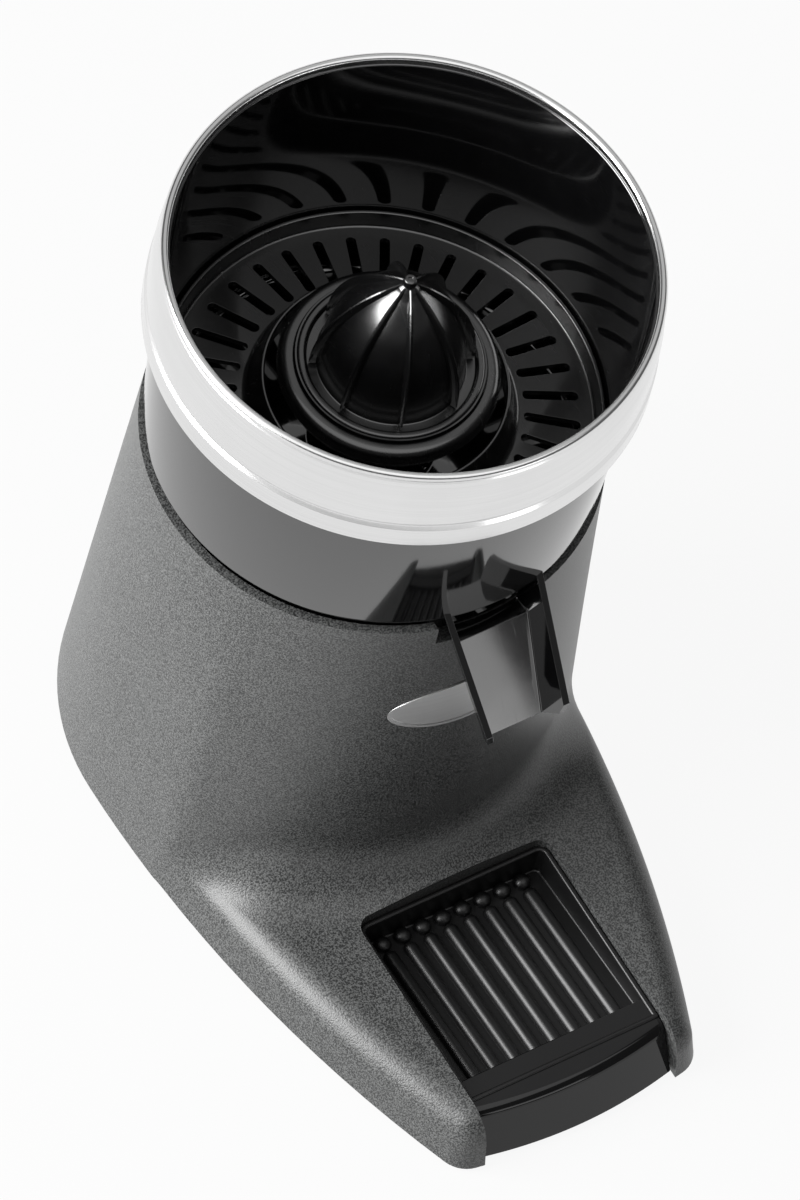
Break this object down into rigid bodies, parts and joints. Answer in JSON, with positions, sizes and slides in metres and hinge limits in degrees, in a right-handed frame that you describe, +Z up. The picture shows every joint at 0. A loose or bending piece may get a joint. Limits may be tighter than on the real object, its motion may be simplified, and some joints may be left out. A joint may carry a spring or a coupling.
{
  "type": "citrus juicer",
  "caption": "Motor-driven citrus juicer: a ribbed reamer turns in a tall bowl with a slotted strainer, a pouring chute and a slide-out drip tray in the foot.",
  "frame": {"origin": "on the table, under the motor's axis", "axes": "+Z up along the motor's axis, -Y to the chute and the drip tray, +X to the switch"},
  "size_m": [0.2127, 0.351, 0.347],
  "materials": {
    "body_paint": "fine-grain grey paint on a casting",
    "black_gloss": "polished black",
    "ring_steel": "satin stainless sheet",
    "plate_bare": "bare satin plate",
    "sheet_steel": "plain sheet",
    "screw_steel": "bright screws",
    "shaft_steel": "ground steel",
    "black_rubber": "matt rubber",
    "black_plastic": "moulded black",
    "core_iron": "stacked laminations",
    "copper_wire": "enamelled winding",
    "cast_alloy": "plain casting",
    "bearing_steel": "ground steel",
    "pale_plastic": "moulded pale"
  },
  "bodies": {
    "base": {"body_casting": "body_paint", "badge_plate": "plate_bare", "base_plate": "sheet_steel", "base_plate_screws": "screw_steel", "rubber_feet": "black_rubber", "foot_screws": "screw_steel", "stator_core": "core_iron", "stator_windings": "copper_wire", "upper_end_shield": "cast_alloy", "lower_end_shield": "cast_alloy", "bearing_outer_rings": "bearing_steel", "motor_tie_bolts": "screw_steel", "motor_screws": "screw_steel", "shaft_seal": "black_rubber", "capacitor": "pale_plastic", "capacitor_clip": "sheet_steel", "terminal_block": "pale_plastic", "switch_housing": "black_plastic", "cable_gland": "black_plastic"},
    "rotor": {"motor_shaft": "shaft_steel", "drive_pin": "shaft_steel", "rotor_core": "core_iron", "cooling_fan": "black_plastic", "bearing_inner_rings": "bearing_steel"},
    "shield": {"drip_shield": "black_plastic"},
    "cone": {"reamer_cone": "black_gloss"},
    "bowl": {"bowl": "black_gloss"},
    "strainer": {"strainer": "black_gloss"},
    "ring": {"splash_ring": "ring_steel"},
    "tray": {"drip_tray": "black_gloss"},
    "rocker": {"switch_rocker": "black_plastic"}
  },
  "joints": [
    {"name": "motor_spin", "type": "hinge", "parent": "base", "child": "rotor", "pos_m": [0, 0, 0.14], "axis": [0, 0, 1], "continuous": true},
    {"name": "shield_lift", "type": "slide", "parent": "rotor", "child": "shield", "axis": [0, 0, 1], "range_m": [0, 0.1]},
    {"name": "cone_lift", "type": "slide", "parent": "shield", "child": "cone", "axis": [0, 0, 1], "range_m": [0, 0.08]},
    {"name": "bowl_lift", "type": "slide", "parent": "base", "child": "bowl", "axis": [0, 0, 1], "range_m": [0, 0.1]},
    {"name": "strainer_lift", "type": "slide", "parent": "bowl", "child": "strainer", "axis": [0, 0, 1], "range_m": [0, 0.11]},
    {"name": "ring_lift", "type": "slide", "parent": "bowl", "child": "ring", "axis": [0, 0, 1], "range_m": [0, 0.06]},
    {"name": "tray_slide", "type": "slide", "parent": "base", "child": "tray", "axis": [0, -1, 0], "range_m": [0, 0.115]},
    {"name": "switch_rock", "type": "hinge", "parent": "base", "child": "rocker", "pos_m": [0.0945, 0, 0.07], "axis": [0, 1, 0], "range_deg": [0, 16]}
  ],
  "couplings": [
    {"joint": "shield_lift", "follows": "bowl_lift", "ratio": 1}
  ]
}
